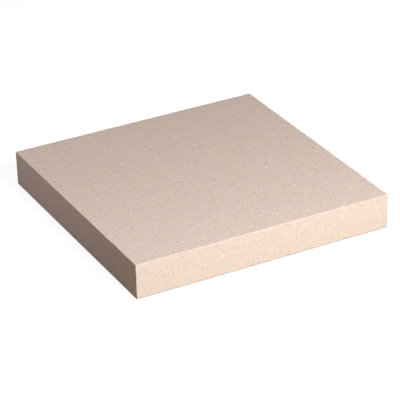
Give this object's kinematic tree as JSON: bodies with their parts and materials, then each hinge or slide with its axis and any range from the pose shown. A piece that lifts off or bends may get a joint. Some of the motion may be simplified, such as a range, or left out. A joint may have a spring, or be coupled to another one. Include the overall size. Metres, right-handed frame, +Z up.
{
  "type": "flat pillar cap",
  "caption": "Square flat slab of sand-coloured cast stone with crisp arrises and a drip groove underneath, laid on top of a masonry pillar to shed rain.",
  "frame": {"origin": "middle of the underside, the bed face that lies on the pillar", "axes": "+Z up, out of the top face; +X and +Y at right angles to the side faces"},
  "size_m": [0.45, 0.45, 0.06],
  "materials": {
    "cast_stone": "matte"
  },
  "bodies": {
    "root": {"pillar_cap": "cast_stone"}
  },
  "joints": []
}
